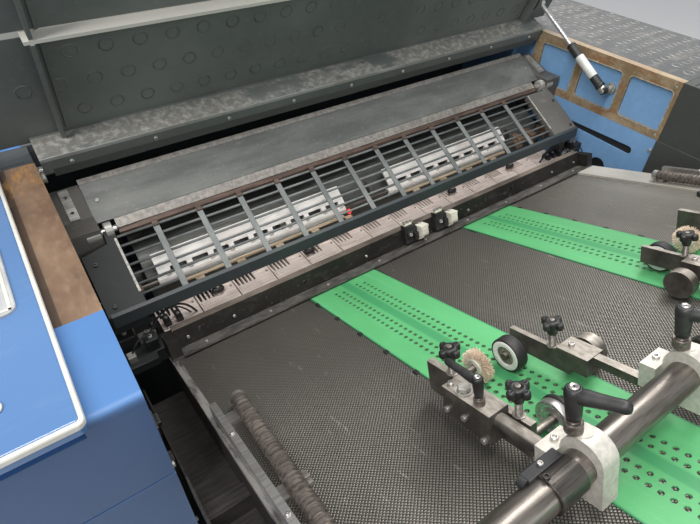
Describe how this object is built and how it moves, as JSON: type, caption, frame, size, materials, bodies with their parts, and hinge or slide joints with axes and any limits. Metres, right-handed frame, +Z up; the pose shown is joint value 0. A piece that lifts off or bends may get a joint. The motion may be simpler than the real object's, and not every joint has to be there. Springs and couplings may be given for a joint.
{
  "type": "offset press infeed section",
  "caption": "Infeed section of a sheet-fed offset press: sloping feed table with perforated suction belts, hold-down wheels, register grille and a raised footboard on a gas spring.",
  "frame": {"origin": "centre of the bounding box on the floor", "axes": "X across the press towards the drive side, +Y along the sheet's travel, +Z up"},
  "size_m": [1.96, 1.8278, 1.4487],
  "materials": {
    "blue_paint": "satin enamel, scuffed",
    "tan_paint": "worn primer with oil stains and rust",
    "slate_paint": "dark grey enamel, worn to metal at edges",
    "lid_blue": "smooth moulded lid",
    "trim_white": "rounded edge trim",
    "panel_grey": "light grey key panel",
    "bare_steel": "bright steel with wear",
    "dark_steel": "dark oiled steel",
    "table_steel": "dark embossed steel sheet",
    "belt_green": "woven belt with suction holes",
    "black_metal": "black enamel",
    "black_plastic": "moulded grips",
    "cream_plastic": "sensor bodies",
    "wheel_rubber": "soft tyre",
    "brush_fibre": "dense bristle",
    "clamp_grey": "light grey cast clamp",
    "comb_metal": "ground steel",
    "chrome_rod": "polished rod",
    "worn_plate": "grey enamel scratched in long streaks"
  },
  "bodies": {
    "machine": {"operator_side_frame": "blue_paint", "drive_side_frame": "blue_paint", "operator_liner": "slate_paint", "operator_ledge": "tan_paint", "operator_nose_cover": "blue_paint", "operator_lower_cover": "blue_paint", "operator_housing": "blue_paint", "console_lid": "lid_blue", "console_trim": "trim_white", "console_panel": "panel_grey", "drive_window_frame": "tan_paint", "drive_lower_panel": "blue_paint", "drive_tread_plate": "slate_paint", "drive_nose_cover": "black_metal", "drive_housing": "blue_paint", "rear_deck": "slate_paint", "rear_bulkhead": "slate_paint", "base_beams": "dark_steel", "table_sheet": "table_steel", "table_side_rails": "dark_steel", "suction_boxes": "slate_paint", "belt_rollers": "bare_steel", "left_belt": "belt_green", "right_belt": "belt_green", "table_stand": "dark_steel", "front_rail": "dark_steel", "sheet_sensors": "cream_plastic", "register_plates": "comb_metal", "front_lays": "bare_steel", "gripper_bars": "bare_steel", "drip_tray": "dark_steel", "hood_plate": "worn_plate", "hood_brackets": "slate_paint", "pivot_pins": "bare_steel", "side_guides": "bare_steel", "ridged_rods": "black_plastic", "cross_shaft": "dark_steel", "shaft_clamps": "clamp_grey", "wheel_arms": "dark_steel", "clamp_handles": "black_plastic"},
    "drum": {"feed_drum": "bare_steel"},
    "grille": {"grille_guard": "slate_paint"},
    "footboard": {"footboard": "slate_paint"},
    "strut_cylinder": {"strut_cylinder": "black_metal"},
    "strut_rod": {"strut_rod": "chrome_rod"},
    "left_tyre_wheel": {"left_tyre_wheel": "bare_steel"},
    "left_brush_wheel": {"left_brush_wheel": "brush_fibre"},
    "left_ring_wheel": {"left_ring_wheel": "wheel_rubber"},
    "right_tyre_wheel": {"right_tyre_wheel": "bare_steel"},
    "right_brush_wheel": {"right_brush_wheel": "brush_fibre"},
    "right_ring_wheel": {"right_ring_wheel": "wheel_rubber"}
  },
  "joints": [
    {"name": "footboard_hinge", "type": "hinge", "parent": "machine", "child": "footboard", "pos_m": [0, 0.5949, 1.035], "axis": [1, 0, 0], "range_deg": [0, 69]},
    {"name": "grille_hinge", "type": "hinge", "parent": "machine", "child": "grille", "pos_m": [0, 0.4789, 0.952], "axis": [1, 0, 0], "range_deg": [-60, 0]},
    {"name": "drum_turn", "type": "hinge", "parent": "machine", "child": "drum", "pos_m": [0, 0.5119, 0.792], "axis": [1, 0, 0], "continuous": true},
    {"name": "strut_turn", "type": "hinge", "parent": "machine", "child": "strut_cylinder", "pos_m": [0.63, 0.3139, 0.989], "axis": [1, 0, 0], "range_deg": [-11.93, 0.5]},
    {"name": "strut_stroke", "type": "slide", "parent": "strut_cylinder", "child": "strut_rod", "axis": [0, 0.8629, 0.5054], "range_m": [-0.1128, 0.001]},
    {"name": "left_tyre_wheel_turn", "type": "hinge", "parent": "machine", "child": "left_tyre_wheel", "pos_m": [-0.271, -0.24303, 1.01709], "axis": [1, 0, 0], "continuous": true},
    {"name": "left_brush_wheel_turn", "type": "hinge", "parent": "machine", "child": "left_brush_wheel", "pos_m": [-0.264, -0.12087, 0.97263], "axis": [1, 0, 0], "continuous": true},
    {"name": "left_ring_wheel_turn", "type": "hinge", "parent": "machine", "child": "left_ring_wheel", "pos_m": [-0.215, -0.13215, 0.97673], "axis": [1, 0, 0], "continuous": true},
    {"name": "right_tyre_wheel_turn", "type": "hinge", "parent": "machine", "child": "right_tyre_wheel", "pos_m": [0.219, -0.24303, 1.01709], "axis": [1, 0, 0], "continuous": true},
    {"name": "right_brush_wheel_turn", "type": "hinge", "parent": "machine", "child": "right_brush_wheel", "pos_m": [0.237, -0.13684, 0.97844], "axis": [1, 0, 0], "continuous": true},
    {"name": "right_ring_wheel_turn", "type": "hinge", "parent": "machine", "child": "right_ring_wheel", "pos_m": [0.155, -0.13496, 0.97776], "axis": [1, 0, 0], "continuous": true}
  ],
  "couplings": [
    {"joint": "strut_turn", "follows": "footboard_hinge", "ratio": -0.16567},
    {"joint": "strut_stroke", "follows": "footboard_hinge", "m_per_rad": -0.09281}
  ]
}
